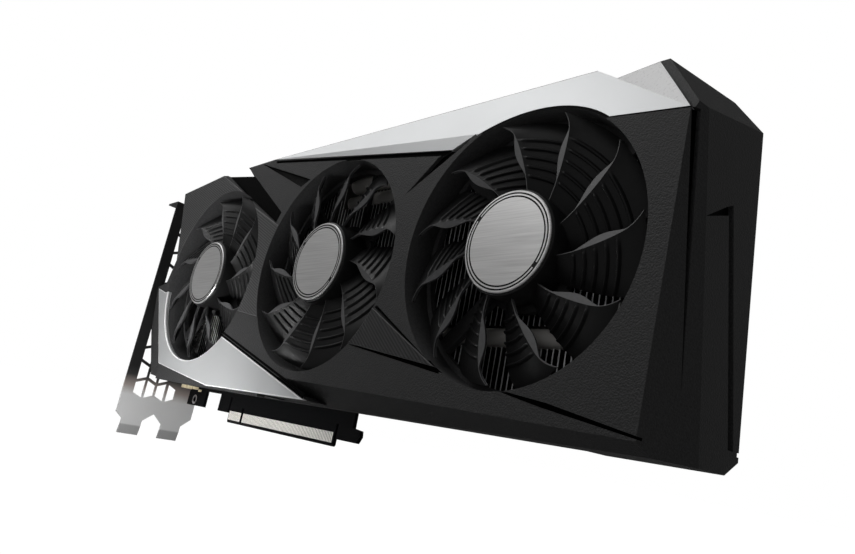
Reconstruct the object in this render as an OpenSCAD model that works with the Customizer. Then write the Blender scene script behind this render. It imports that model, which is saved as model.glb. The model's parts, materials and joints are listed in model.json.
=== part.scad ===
// Triple-fan dual-slot graphics card, in millimetres, standing upright on its edge connector.
// X runs along the card, from the slot bracket (-X) to the closed end (+X). Y runs from the fans
// (front, -Y) to the backplate (+Y). Z points up. The origin is the middle of the edge
// connector's lower edge. Every module draws about the middle fan's axis on the shroud's front
// face, and seated() moves it to that origin.

/* [Fans] */
// Distance between neighbouring fan axes
fan_pitch = 87; // [84:0.5:88]
// Radius of each opening in the shroud
opening_r = 39.7; // [39:0.1:40]
// Radius at the tips of the blades
blade_tip_r = 38.2; // [36:0.1:38.4]
// Radius of the rotor's hub
hub_r = 15.2; // [14.8:0.1:16]
// Blades on each rotor
blade_count = 11; // [7:1:13]
// Pitch angle of a blade against the fan's plane
blade_angle = 38; // [30:1:40]
// Radius of each rotor's shaft
shaft_r = 1.5; // [1:0.1:1.8]

/* [Shroud] */
// Lower and upper edge of the shroud, measured from the fan axes
shroud_half_h = 50; // [48:0.5:50]
// Thickness of the shroud's front skin
skin_t = 3.2; // [3:0.1:3.6]
// Thickness of the shroud's side walls
wall_t = 2; // [1.6:0.1:2.4]
// Depth of the pockets that hold the silver trims
trim_t = 2; // [1.6:0.1:2.2]
// Depth of the shroud's closed end
end_depth = 36.1; // [35:0.1:37]

/* [Cooler] */
// Distance between neighbouring fins
fin_pitch = 1.92; // [1.8:0.02:2.4]
// Thickness of a fin
fin_t = 0.4; // [0.3:0.05:0.5]
// Radius of a heat pipe
pipe_r = 3; // [2.5:0.1:3]

/* [Board] */
// Thickness of the circuit board
board_t = 1.6; // [1.5:0.05:1.7]
// Depth of the board's front face behind the shroud's front face
board_y = 32.6; // [32:0.1:33.4]
// Right end of the board, measured from the middle fan's axis
board_right = 62; // [58:0.5:70]
// Thickness of the backplate
plate_t = 1.2; // [1:0.1:1.5]

/* [Slot bracket] */
// Width of the two-slot bracket
bracket_w = 38.7; // [38:0.1:39]
// Thickness of the bracket's sheet
bracket_t = 0.9; // [0.8:0.05:1]
// Overall height of the bracket, from tongue tips to flange
bracket_h = 120; // [119:0.1:120.1]

/* [Hidden] */

$fn = 64;
gap = 0.1;              // clearance between seated pieces
eps = 0.01;

// Edge connector, to the PCI Express card-edge drawing
tab_left = -97;
tab_len = 84.2;
tab_bottom = -62.6;
tab_mid = tab_left + tab_len / 2;
key_x = tab_left + 12.15;
key_w = 1.9;
contact_top = -57.3;
contact_bottom = -61.3;
contact_pitch = 1;
contact_w = 0.7;
contact_t = 0.05;
board_mid_y = board_y + board_t / 2;

// Depths behind the shroud's front face
label_y = -1.4;
label_t = 0.6;
label_r = 14.4;
duct_depth = 9.4;
duct_t = 1.3;
frame_y = 9.6;          // front of the fan frame's struts
frame_t = 2;
fin_y0 = 12.6;
fin_y1 = 28;
base_t = 1.2;
cold_y0 = fin_y1 + base_t;
die_y = 30.6;
plate_y0 = 38;          // front of the backplate's sheet
plate_y1 = plate_y0 + plate_t;

// Shroud outline
left_x = -141;
end_x = 136;
corner_z = 28.6;        // where the end's sloping corner starts
body_left = -112;
end_left = 106;         // the deep closed end starts here
body_half_h = shroud_half_h - 0.6;
wall_depth = 20;

// Screws through the shroud's top and bottom walls, into ears on the fins
ear_x = [-60, 76];
ear_y = 16.4;
fan_screw_r = opening_r + 2.6;

// Fans
fan_names = ["left", "middle", "right"];
fan_x = [-fan_pitch, 0, fan_pitch];
hub_y0 = label_y + label_t;
hub_y1 = 8.6;
blade_y0 = 0.8;
blade_y1 = 8.8;
blade_t = 1.2;
bearing_r = 2.6;
shaft_gap = 0.04;
yoke_r = 13.2;
yoke_t = 0.8;
magnet_t = 1.4;
stator_r = 10.4;

// Bracket
bracket_x = -144.3;     // inner face of the bracket
bracket_y0 = -1;
tongue_y = [7.6, 27.9];
tongue_w = 10.2;
fold_z = -72.8;
tip_z = -77.6;
bracket_top = tip_z + bracket_h;
flange_len = 11.4;
slot_r = 2.2;           // screw notch in the flange
tab_x = -137;           // screws through the bracket's tabs and the board
tab_z = [30, -49];

silver = [0.78, 0.79, 0.8];
charcoal = [0.2, 0.2, 0.21];
black = [0.08, 0.08, 0.085];
steel = [0.7, 0.7, 0.72];
gold = [0.88, 0.8, 0.58];
nickel = [0.74, 0.73, 0.7];
board_black = [0.06, 0.065, 0.07];

module seated() {
    translate([-tab_mid, -board_mid_y, -tab_bottom])
        children();
}

// A box from one corner to the other
module block(a, b) {
    translate(a)
        cube([b[0] - a[0], b[1] - a[1], b[2] - a[2]]);
}

// An outline in the X-Z plane, made solid from depth y0 to depth y1
module slab(points, y0, y1) {
    translate([0, y1, 0])
        rotate([90, 0, 0])
            linear_extrude(y1 - y0)
                polygon(points);
}

// A cylinder along Y at (x, z), from depth y0 to depth y1
module disc(x, z, y0, y1, r) {
    translate([x, y1, z])
        rotate([90, 0, 0])
            cylinder(h = y1 - y0, r = r);
}

// A cylinder along X at (y, z)
module bar(x0, x1, y, z, r) {
    translate([x0, y, z])
        rotate([0, 90, 0])
            cylinder(h = x1 - x0, r = r);
}

// ---- Shroud and trims ----

// Front outline of the shroud, from the top left corner round by the left end and the bottom
shroud_outline = [
    [-140.3, 46.4], [-126.8, 9], [-131, -3], [-139.8, -4.4], [left_x, -37.6], [-135, -46.6],
    [-112, -49.4], [-62, -shroud_half_h], [end_x, -shroud_half_h], [end_x, shroud_half_h],
    [-99, shroud_half_h]
];

// Lower silver trim: an L around the left fan's lower half
lower_outline = [
    [-139.4, -5], [-114, -42.5], [-62, -49.2], [9.8, -48.8], [-61.5, -27.7],
    [-87, 0], [-129, -7.6]
];

// Upper silver trim: a band along the top, over the right fan, to the sloping corner
upper_outline = [
    [-52.8, 49.9], [58.1, 32.7], [67, 36.2], [87, 10], [113, 31.2], [133.8, 28.9],
    [119.6, 49.9]
];

module openings(r, y0, y1) {
    for (x = fan_x)
        disc(x, 0, y0, y1, r);
}

// Everything beyond a plane through p with outward normal n, moved inwards by inset
module beyond(p, n, inset) {
    reach = 300;
    translate(p)
        rotate([0, -asin(n[2] / norm(n)), atan2(n[1], n[0])])
            translate([-inset, -reach, -reach])
                cube([reach, 2 * reach, 2 * reach]);
}

// The upper trim's surface leans back above its crease, with a recessed triangle and the
// corner's ridge beside its right end
module top_slope(inset) {
    step_x = 103.3;
    ridge_x = 119.8;
    tip = [134, 28.8];
    beyond([-52.8, 0, shroud_half_h], [0.0343, -0.954, 0.296], inset);
    intersection() {
        slab([[step_x, 51], [step_x, 50], tip, [ridge_x, 50], [ridge_x, 51]], -1, 20);
        beyond([tip[0], 0, tip[1]], [-0.124, -0.936, 0.327], inset);
    }
    intersection() {
        slab([[ridge_x, 51], [ridge_x, 50], tip, [140, tip[1]], [140, 51]], -1, 20);
        beyond([ridge_x, 9.3, shroud_half_h], [0, -0.933, 0.359], inset);
    }
}

// A long wedge is off the front right edge, deepest at the bottom
module side_slope(inset) {
    beyond([134, 0, corner_z], [0.927, -0.371, -0.052], inset);
}

// The upper right corner is cut by one plane, deeper at the front
module end_corner(inset) {
    beyond([end_x, 1.3, corner_z + 0.6], [0.794, -0.163, 0.586], inset);
}

// The bottom edge's bevel, from the lower trim's tip to the right end
module bottom_bevel(inset) {
    difference() {
        intersection() {
            beyond([0, 0, -42.5], [-0.028, -0.523, -0.852], inset);
            slab([[-20, -30], [-20, -60], [150, -60], [150, -30]], -10, 30);
        }
        slab(lower_outline, -20, 40);
    }
}

// The deep end's lower back edge is cut off
module back_bevel(inset) {
    beyond([0, 30.2, -48.8], [0, 0.45, -0.89], inset);
}

// The lower left corner slopes away beside the lower trim
module left_bevel() {
    intersection() {
        beyond([-139.7, 0, -5], [-0.197, -0.971, -0.134], 0);
        slab([[-139.7, -5], [-150, -5], [-150, -60], [-113, -60], [-114.4, -42.6]], -10, 30);
    }
    intersection() {
        beyond([-114, 0, -43], [0.02, -0.8, -0.6], 0);
        slab([[-150, -30], [-150, -60], [-112, -60], [-112, -30]], -10, 30);
    }
}

// Dark groove in the side slope, wide at the top and closing to a point near the bottom
module side_groove() {
    side_turn = [0, 3.2, 0];
    side_lean = [0, 0, -21.8];
    depth = 1.3;
    translate([134, 0, corner_z])
        rotate(side_turn)
            rotate(side_lean)
                translate([-depth, 0, 0])
                    rotate([90, 0, 90])
                        linear_extrude(3)
                            polygon([[0.2, 0.4], [2.9, 0.4], [9.7, -64.6]]);
}

// Recessed slot in the end face, leaning with the front corner, with a small notch at its top
module end_slot() {
    above = 5;
    depth = 1.3;
    translate([end_x + above, 0, 0])
        rotate([90, 0, -90])
            linear_extrude(above + depth)
                polygon([
                    [-19.8, 9.5], [-8.2, 5], [-18.5, 11.2], [-21.9, 12.9],
                    [-32.9, -43.7], [-29.8, -43.7]
                ]);
}

// The shroud's outer form: the skin, a shallow body, and a deep closed right end
module shroud_form() {
    slab(shroud_outline, 0, skin_t);
    slab([[-139.8, -4.4], [left_x, -37.6], [-135, -46.6], [body_left + 1, -49.4], [-114, -42]], 0, 8);
    block([-99, 1, -body_half_h], [end_x, wall_depth, shroud_half_h]);
    block([body_left, 1, -body_half_h], [-98, wall_depth, wall_t - body_half_h]);
    block([end_left, wall_depth - 1, -body_half_h], [end_x, end_depth, shroud_half_h]);
}

// The hollow behind the skin, open at the back and at the left end
module shroud_hollow() {
    difference() {
        block([-150, skin_t, wall_t - body_half_h], [end_x - wall_t, 60, shroud_half_h - wall_t]);
        top_slope(skin_t);
        side_slope(wall_t + 1);
        end_corner(wall_t);
        bottom_bevel(wall_t);
        back_bevel(wall_t);
    }
}

// The front layer of the shroud that the upper trim takes the place of, outside the opening's lip
module upper_layer(y0) {
    lip = 0.8;
    difference() {
        intersection() {
            slab(upper_outline, y0, 12);
            union() {
                slab(upper_outline, y0 - 1, trim_t);
                top_slope(trim_t);
            }
        }
        disc(fan_pitch, 0, y0 - 2, 14, opening_r + lip);
    }
}

// The diagonal channel between the left and middle panels, and the narrower grooves
module grooves() {
    groove = 1.4;
    slab([[-98, 51], [-77, 51], [-36, 23.5], [-38.5, 19], [-72, 36.5]], -1, groove);
    slab([[-52, -30.2], [-52, -31.4], [2, -47.3], [1, -46.2]], -1, groove);
    slab([[27, -29.4], [70, -36.4], [70, -34.9], [36, -30]], -1, groove);
    slab([[36.5, -17.3], [66, -34.9], [67, -34.2], [37.4, -16.6]], -1, groove);
    slab([[40, 20.4], [52.4, 31.2], [66.4, 36.3], [64, 34]], -1, groove);
    slab([[-63.8, 50], [-20, 35.5], [-26, 33]], -1, 0.8);
    slab([[-51, 49.1], [58.1, 32.6], [55.8, 31.2], [-51, 47.9]], -1, 0.7);
    slab([[86, -38.3], [106, -40.9], [134, -46.5], [134, -47], [104, -42]], -1, groove);
}

// Bosses under the skin that the fan frames are screwed to, and their pilot holes
module fan_bosses(r, y0, y1) {
    for (x = fan_x, a = [45 : 90 : 315])
        translate([x, 0, 0])
            rotate([0, a, 0])
                disc(fan_screw_r, 0, y0, y1, r);
}

// Countersunk holes in the top and bottom walls, for the screws into the fins' ears
module shroud_screw_holes() {
    for (x = ear_x, side = [-1, 1]) {
        z = side > 0 ? shroud_half_h : -body_half_h;
        translate([x, ear_y, z]) {
            cylinder(h = 6, r = 1.4, center = true);
            cylinder(h = 2, r = 2.4, center = true);
        }
    }
}

module shroud() {
    color(charcoal)
        difference() {
            union() {
                difference() {
                    shroud_form();
                    shroud_hollow();
                }
                openings(opening_r + duct_t, skin_t - 1, duct_depth);
                fan_bosses(2.4, skin_t - 1, duct_depth);
                slab([[-99, 49.9], [-71, 45.6], [-71, 43.6], [-99, 47.9]], 1, duct_depth);
            }
            openings(opening_r, -1, duct_depth + 1);
            fan_bosses(0.9, skin_t + 0.6, duct_depth + 1);
            slab(lower_outline, -1, trim_t);
            upper_layer(-1);
            grooves();
            slab([[-99.4, 51], [-99, 49.9], [-71, 45.6], [-78, 51]], -1, wall_depth + 1);
            block([end_x - 1.2, end_depth - 1, -44.6], [end_x + 1, end_depth + 1, -43.6]);
            top_slope(0);
            side_slope(0);
            end_corner(0);
            bottom_bevel(0);
            back_bevel(0);
            left_bevel();
            side_groove();
            end_slot();
            shroud_screw_holes();
        }
}

module trim_lower() {
    color(silver)
        difference() {
            slab(lower_outline, 0, trim_t);
            disc(-fan_pitch, 0, -1, trim_t + 1, opening_r);
        }
}

module trim_upper() {
    color(silver)
        difference() {
            upper_layer(0);
            top_slope(0);
            end_corner(0);
        }
}

// ---- Fans ----

// Motor plate, bearing tube and four struts that carry one fan, screwed under the duct
module fan_frame(x) {
    plate_r = 17;
    tube_h = 6;
    tube_r = bearing_r + 1.2;
    strut_w = 4.6;
    back_y = frame_y + frame_t;
    color(black)
        translate([x, 0, 0])
            difference() {
                union() {
                    disc(0, 0, frame_y, back_y, plate_r);
                    disc(0, 0, frame_y - tube_h, back_y, tube_r);
                    for (a = [45 : 90 : 315])
                        rotate([0, a, 0])
                            block([10, frame_y, -strut_w / 2],
                                [fan_screw_r + 2.3, back_y, strut_w / 2]);
                    difference() {
                        disc(0, 0, frame_y, back_y, opening_r + duct_t);
                        disc(0, 0, frame_y - 1, back_y + 1, opening_r - 1.6);
                    }
                }
                disc(0, 0, frame_y - tube_h - 1, back_y + 1, bearing_r);
                for (a = [45 : 90 : 315])
                    rotate([0, a, 0])
                        disc(fan_screw_r, 0, frame_y - 1, back_y + 1, 1.1);
            }
}

// Wound stator: nine teeth on a ring around the bearing tube
module stator(x) {
    tooth_w = 2.2;
    color([0.65, 0.38, 0.2])
        translate([x, 0, 0])
            difference() {
                union() {
                    disc(0, 0, 3.8, frame_y, 6);
                    for (a = [0 : 40 : 320])
                        rotate([0, a, 0])
                            block([5, 4.4, -tooth_w / 2], [stator_r, frame_y - 1, tooth_w / 2]);
                }
                disc(0, 0, 0, 20, bearing_r + 1.2 + gap);
            }
}

// Sleeve bearing, a press fit in the frame's tube
module bearing(x) {
    color(steel)
        translate([x, 0, 0])
            difference() {
                disc(0, 0, 3.9, frame_y + frame_t - 0.2, bearing_r);
                disc(0, 0, 3, frame_y + frame_t + 1, shaft_r + shaft_gap);
            }
}

// One blade: a thin plate pitched about its own length and cut to the tip radius
module blade(turn) {
    intersection() {
        rotate([turn * blade_angle, 0, 0])
            block([hub_r - 1.2, -blade_t / 2, -9], [blade_tip_r + 2, blade_t / 2, 9]);
        translate([0, -(blade_y1 - blade_y0) / 2, 0])
            rotate([-90, 0, 0])
                cylinder(h = blade_y1 - blade_y0, r = blade_tip_r);
    }
}

// Hub cup with its blades. turn is +1 or -1: the middle rotor is handed the other way.
module rotor(x, turn) {
    mid = (blade_y0 + blade_y1) / 2;
    color(black)
        translate([x, 0, 0])
            difference() {
                union() {
                    disc(0, 0, hub_y0, hub_y1, hub_r);
                    for (i = [0 : blade_count - 1])
                        rotate([0, i * 360 / blade_count, 0])
                            translate([0, mid, 0])
                                blade(turn);
                }
                disc(0, 0, hub_y0 + 1.2, 20, yoke_r);
            }
}

// Brushed disc on the hub, flush with its rim
module label(x) {
    color(silver)
        disc(x, 0, label_y, label_y + label_t, label_r);
}

module yoke(x) {
    color(steel)
        translate([x, 0, 0])
            difference() {
                disc(0, 0, hub_y0 + 1.2, hub_y1 - 0.4, yoke_r);
                disc(0, 0, hub_y0 + 1.2 + yoke_t, 20, yoke_r - yoke_t);
                disc(0, 0, hub_y0, 20, shaft_r);
            }
}

module magnet(x) {
    color([0.25, 0.24, 0.24])
        translate([x, 0, 0])
            difference() {
                disc(0, 0, 3.6, hub_y1 - 0.6, yoke_r - yoke_t);
                disc(0, 0, 3, 20, yoke_r - yoke_t - magnet_t);
            }
}

module shaft(x) {
    color(steel)
        disc(x, 0, hub_y0 + 1.2, frame_y + frame_t - 0.6, shaft_r);
}

// ---- Cooler ----

fin_half_h = 41;
pipe_front_y = 15.6;    // pipes that show through the fans
pipe_back_y = 24.4;
low_pipe_z = -22.6;
high_pipe_z = [29.5, 37];
back_pipe_z = [-14, -5, 5, 14];

// A stack of upright fins on a thin base, from x0 to x1. ears are the screw ears' x positions,
// holes are the standoffs that the processor's screws pull against.
module fin_stack(x0, x1, ears, holes) {
    n = floor((x1 - x0 - fin_t) / fin_pitch);
    ear_half = 3;
    ear_top = body_half_h - wall_t - gap;
    color(nickel)
        difference() {
            union() {
                block([x0, fin_y1 - eps, -fin_half_h], [x1, fin_y1 + base_t, fin_half_h]);
                for (i = [0 : n])
                    block([x0 + i * fin_pitch, fin_y0, -fin_half_h],
                        [x0 + i * fin_pitch + fin_t, fin_y1, fin_half_h]);
                for (x = ears, side = [-1, 1])
                    block([x - ear_half, ear_y - ear_half, side > 0 ? fin_half_h - 1 : -ear_top],
                        [x + ear_half, ear_y + ear_half, side > 0 ? ear_top : 1 - fin_half_h]);
                for (h = holes)
                    disc(h[0], h[1], fin_y1, board_y, 2.6);
            }
            pipe_room();
            for (x = ears, side = [-1, 1])
                translate([x, ear_y, side * (fin_half_h + 4)])
                    cylinder(h = 9, r = 1.2, center = true);
            for (h = holes)
                disc(h[0], h[1], fin_y1 + 0.2, board_y + 1, 1.25);
        }
}

// The room that the pipes need in the fins
module pipe_room() {
    deep_y = pipe_front_y + pipe_r;
    for (z = back_pipe_z)
        bar(-110, 130, pipe_back_y, z, pipe_r);
    block([46, 0, low_pipe_z - pipe_r], [130, deep_y, low_pipe_z + pipe_r]);
    block([-12, 0, high_pipe_z[0] - pipe_r - gap], [45, deep_y, high_pipe_z[1] + pipe_r + gap]);
}

module fins_left() {
    fin_stack(-104, -45, [ear_x[0]], [cooler_holes[0], cooler_holes[1]]);
}

module fins_middle() {
    fin_stack(-43, 44.4, [], [cooler_holes[2], cooler_holes[3]]);
}

module fins_right() {
    fin_stack(47, 124, [ear_x[1]], []);
}

module heat_pipes() {
    color(nickel) {
        for (z = back_pipe_z)
            bar(-103, 122, pipe_back_y, z, pipe_r);
        bar(48, 122, pipe_front_y, low_pipe_z, pipe_r);
    }
}

// Two short pipes that cross over the middle fin stack's upper part
module pipe_crossover() {
    color(nickel)
        for (z = high_pipe_z)
            bar(-10, 43, pipe_front_y, z, pipe_r);
}

module cold_plate() {
    color(nickel)
        block([-62, cold_y0, -24], [-14, die_y, 24]);
}

// ---- Board ----

gpu_x = -38;

module board_outline() {
    polygon([
        [-143, 46.5], [-143, -58.2], [-124.6, -58.2], [-124.6, -50.3], [-108.8, -50.3],
        [-108.8, -58.3], [tab_left - 1.4, -58.3], [tab_left - 1.4, -51], [tab_left, -51],
        [tab_left, tab_bottom + 0.6], [tab_left + 0.6, tab_bottom],
        [key_x - key_w / 2, tab_bottom], [key_x - key_w / 2, -55], [key_x + key_w / 2, -55],
        [key_x + key_w / 2, tab_bottom], [tab_left + tab_len - 0.6, tab_bottom],
        [tab_left + tab_len, tab_bottom + 0.6], [tab_left + tab_len, -54],
        [tab_left + tab_len + 1.2, -54], [tab_left + tab_len + 1.2, -59.7], [1, -59.7],
        [2.5, -57.2], [2.1, -55], [-2.6, -54.5], [-2.8, -47.4], [board_right, -47.4],
        [board_right, 46.5]
    ]);
}

// Fixing holes: four around the processor, four at the backplate's corners, one in the foot
cooler_holes = [for (dx = [-30, 30], dz = [-30, 30]) [gpu_x + dx, dz]];
plate_holes = [[-128, 43.6], [-128, -44], [56, 43.6], [56, -44]];
foot_hole = [-135.6, -55.2];

module circuit_board() {
    color(board_black)
        difference() {
            translate([0, board_y + board_t, 0])
                rotate([90, 0, 0])
                    linear_extrude(board_t)
                        board_outline();
            for (h = cooler_holes)
                disc(h[0], h[1], board_y - 1, board_y + 3, 1.6);
            for (h = plate_holes)
                disc(h[0], h[1], board_y - 1, board_y + 3, 1.4);
            disc(foot_hole[0], foot_hole[1], board_y - 1, board_y + 3, 1.3);
            for (z = tab_z)
                disc(tab_x, z, board_y - 1, board_y + 3, 1.2);
            pins(0.1);
        }
}

// Contact strips on both faces of the edge connector: 11, the key, then 71
module edge_contacts() {
    first = tab_left + 0.6;
    after_key = key_x + key_w / 2 + 0.35;
    left = [for (i = [0 : 10]) first + i * contact_pitch];
    right = [for (i = [0 : 69]) after_key + i * contact_pitch];
    color(gold)
        for (x = concat(left, right))
            for (y = [board_y - contact_t, board_y + board_t])
                block([x, y, contact_bottom], [x + contact_w, y + contact_t, contact_top]);
}

module gpu_package() {
    substrate = 18.5;
    die = 10;
    color([0.1, 0.16, 0.12])
        block([gpu_x - substrate, board_y - 1.2, -substrate], [gpu_x + substrate, board_y, substrate]);
    color([0.3, 0.31, 0.33])
        block([gpu_x - die, die_y, -die], [gpu_x + die, board_y - 1.2, die]);
}

// Six memory chips: two columns beside the processor and a row below it
memory_places = [
    for (x = [-71, -5], z = [-10, 10]) [x, z],
    for (x = [-48, -28]) [x, -34]
];
memory_t = 1.1;

module memory_chips() {
    color(black)
        for (m = memory_places)
            block([m[0] - 6, board_y - memory_t, m[1] - 7], [m[0] + 6, board_y, m[1] + 7]);
}

module memory_pads() {
    color([0.55, 0.6, 0.66])
        for (m = memory_places)
            block([m[0] - 5.5, cold_y0, m[1] - 6.5], [m[0] + 5.5, board_y - memory_t, m[1] + 6.5]);
}

module chokes() {
    color([0.22, 0.22, 0.23])
        for (i = [0 : 7])
            block([12, board_y - 3, -36 + i * 9.4], [19, board_y, -29 + i * 9.4]);
}

module power_stages() {
    color(black)
        for (i = [0 : 7])
            block([22, board_y - 1, -35.5 + i * 9.4], [27, board_y, -29.5 + i * 9.4]);
}

// Polymer capacitors in a row beside the power stages
module capacitors() {
    color([0.6, 0.6, 0.62])
        for (i = [0 : 7])
            disc(33, -32.6 + i * 9.4, board_y - 3.2, board_y, 2.6);
}

module fan_header() {
    color([0.9, 0.9, 0.88])
        difference() {
            block([-92, board_y - 5, 42.6], [-82, board_y, 46]);
            block([-91.3, board_y - 6, 43.3], [-82.7, board_y - 1.2, 45.3]);
        }
}

// Flat leads from the three motor plates, up in front of the fins and back to the header
module fan_leads() {
    lead_w = 2.2;
    lead_t = 0.5;
    y0 = frame_y + frame_t + 0.15;
    color(black)
        for (i = [0 : 2]) {
            x = fan_x[i] + 4;
            over_z = 43.4 + i * 0.65;
            plug_x = -90.9 + i * 2.8;
            block([x, y0, 12], [x + lead_w, y0 + lead_t, over_z + lead_t]);
            block([plug_x, y0, over_z], [x + lead_w, y0 + lead_t, over_z + lead_t]);
            block([plug_x, y0, over_z], [plug_x + lead_w, board_y - 1.4, over_z + lead_t]);
        }
}

// ---- Power socket: two rows of four cells, opening upwards ----

cell_pitch = 4.2;
socket_x = 20;
socket_top = 54.4;
socket_bottom = 42.4;
cell = 3.4;
socket_wall = 0.9;
cell_floor = 46.6;

function cell_x(i) = socket_x + (i - 1.5) * cell_pitch;
function cell_y(j) = board_y - socket_wall - cell / 2 - j * cell_pitch;
function pin_z(j) = 45.4 - 1.8 * j;

// The pins stand in the cells and turn back through the board
module pins(grow) {
    half = 0.4 + grow;
    tail_y = board_y + board_t + 0.8;
    for (i = [0 : 3], j = [0 : 1]) {
        block([cell_x(i) - half, cell_y(j) - half, pin_z(j) - half],
            [cell_x(i) + half, cell_y(j) + half, socket_top - 3]);
        block([cell_x(i) - half, cell_y(j) - half, pin_z(j) - half],
            [cell_x(i) + half, tail_y + grow, pin_z(j) + half]);
    }
}

module power_socket() {
    half = 2 * cell_pitch + socket_wall - 0.4;
    y_front = cell_y(1) - cell / 2 - socket_wall;
    color(black)
        difference() {
            union() {
                block([socket_x - half, y_front, socket_bottom],
                    [socket_x + half, board_y, socket_top]);
                block([socket_x - 2, y_front - 1.4, 49],
                    [socket_x + 2, y_front + eps, socket_top - 1]);
            }
            for (i = [0 : 3], j = [0 : 1])
                block([cell_x(i) - cell / 2, cell_y(j) - cell / 2, cell_floor],
                    [cell_x(i) + cell / 2, cell_y(j) + cell / 2, socket_top + 1]);
            pins(0);
        }
}

module power_pins() {
    color(gold)
        pins(0);
}

// ---- Backplate ----

module backplate() {
    rim_y = board_y + board_t;
    color(black)
        difference() {
            union() {
                slab([[-141, 47.6], [-141, -47.6], [133, -47.6], [133, 34], [124, 47.6]],
                    plate_y0, plate_y1);
                for (h = plate_holes)
                    disc(h[0], h[1], rim_y, plate_y0 + eps, 3);
                for (h = cooler_holes)
                    disc(h[0], h[1], rim_y, plate_y0 + eps, 3);
                block([108, end_depth, -47.6], [133, plate_y0 + eps, -44]);
                block([131, end_depth, -47.6], [133, plate_y0 + eps, 34]);
            }
            for (h = concat(plate_holes, cooler_holes))
                disc(h[0], h[1], rim_y - 1, plate_y1 + 1, 1.4);
            for (i = [0 : 6])
                translate([i * 7, 0, 0])
                    slab([[72, -34], [76, -34], [82, 34], [78, 34]], plate_y0 - 1, plate_y1 + 1);
        }
}

// ---- Slot bracket ----

hdmi_w = 15;
dp_w = 17.4;
hdmi_z = [-38, -4];
dp_z = [-21.4, 12.6];
port_h = 6.2;
port_y = board_y - port_h;  // front side of the sockets, which stand on the board

// Half of a tall six-sided hole: highest at y_apex, with a lower straight side at y_far
module vent_cell(y_apex, y_far, z) {
    apex_half = 4.45;
    side_half = 2.5;
    translate([bracket_x + 1, 0, z])
        rotate([90, 0, -90])
            linear_extrude(3)
                polygon([
                    [-y_apex, apex_half], [-y_far, side_half],
                    [-y_far, -side_half], [-y_apex, -apex_half]
                ]);
}

// Rows of split six-sided holes, each row set half a hole across from the last
module bracket_vents() {
    first_z = -55;
    row_pitch = 8.4;
    for (row = [0 : 10]) {
        z = first_z + row * row_pitch;
        cells = row % 2 == 0
            ? [[9.1, 4.3], [10.1, 14.5], [20.1, 15.5]]
            : [[4.3, 9.1], [14.5, 10.1], [15.5, 20.1]];
        for (c = cells)
            vent_cell(c[0], c[1], z);
    }
    vent_cell(21.3, 25.5, first_z);
}

module port_holes() {
    for (z = hdmi_z)
        port_hole(z, hdmi_w);
    for (z = dp_z)
        port_hole(z, dp_w);
}

module port_hole(z, w) {
    block([bracket_x - 3, port_y - gap, z - w / 2 - gap],
        [bracket_x + 3, port_y + port_h + gap, z + w / 2 + gap]);
}

// Face outline, given as [y, z]
bracket_outline = [
    [bracket_y0, bracket_top], [bracket_y0, -67.8], [2.5, -70.6], [2.5, fold_z], [12.7, fold_z],
    [12.7, -70.4], [17.9, -66.3], [22.8, -70.6], [22.8, fold_z], [33, fold_z], [33, -70.2],
    [37.7, -66], [37.7, bracket_top]
];

// The tongues lean outwards below the fold
module tongue(y) {
    lean = 12;
    translate([bracket_x - bracket_t, y, fold_z])
        rotate([0, lean, 0])
            translate([0, -tongue_w / 2, tip_z - fold_z])
                cube([bracket_t, tongue_w, fold_z - tip_z + 0.3]);
}

module slot_bracket() {
    tab_w = 6;
    tab_y0 = board_y + board_t;
    color(steel)
        difference() {
            union() {
                translate([bracket_x, 0, 0])
                    rotate([90, 0, -90])
                        linear_extrude(bracket_t)
                            polygon([for (p = bracket_outline) [-p[0], p[1]]]);
                block([bracket_x - flange_len, bracket_y0, bracket_top - bracket_t],
                    [bracket_x, bracket_y0 + bracket_w, bracket_top]);
                for (y = tongue_y)
                    tongue(y);
                for (z = tab_z)
                    block([bracket_x - eps, tab_y0, z - tab_w / 2],
                        [tab_x + tab_w / 2, tab_y0 + bracket_t, z + tab_w / 2]);
            }
            bracket_vents();
            port_holes();
            for (y = tongue_y)
                flange_notch(y);
            for (z = tab_z)
                disc(tab_x, z, tab_y0 - 1, tab_y0 + bracket_t + 1, 1.2);
        }
}

// Open-ended screw notch in the flange
module flange_notch(y) {
    depth = 4;
    translate([bracket_x - flange_len, y, bracket_top - 2]) {
        translate([depth, 0, 0])
            cylinder(h = 4, r = slot_r);
        translate([-1, -slot_r, 0])
            cube([depth + 1, 2 * slot_r, 4]);
    }
}

// A display socket's metal shell, standing on the board and opening through the bracket
module port_shell(z, w, depth) {
    shell_t = 0.5;
    color(steel)
        difference() {
            block([bracket_x - bracket_t, port_y, z - w / 2],
                [bracket_x + depth, port_y + port_h, z + w / 2]);
            block([bracket_x - 3, port_y + shell_t, z - w / 2 + shell_t],
                [bracket_x + depth - 1, port_y + port_h - shell_t, z + w / 2 - shell_t]);
        }
}

module displayport_shells() {
    for (z = dp_z)
        port_shell(z, dp_w, 17);
}

module hdmi_shells() {
    for (z = hdmi_z)
        port_shell(z, hdmi_w, 12);
}

// Contact tongues in the display sockets
module port_tongues() {
    for (z = dp_z)
        port_tongue(z, dp_w - 4.8, 16);
    for (z = hdmi_z)
        port_tongue(z, hdmi_w - 4, 11);
}

module port_tongue(z, w, depth) {
    mid_y = port_y + port_h / 2;
    color(black)
        block([bracket_x + 1, mid_y - 0.8, z - w / 2], [bracket_x + depth, mid_y + 0.8, z + w / 2]);
}

// ---- Screws: one node for each kind ----

module cooler_screws() {
    for (h = cooler_holes)
        screw_back(h, fin_y1 + 0.6);
}

module backplate_screws() {
    for (h = plate_holes)
        screw_back(h, board_y - 0.6);
}

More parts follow.
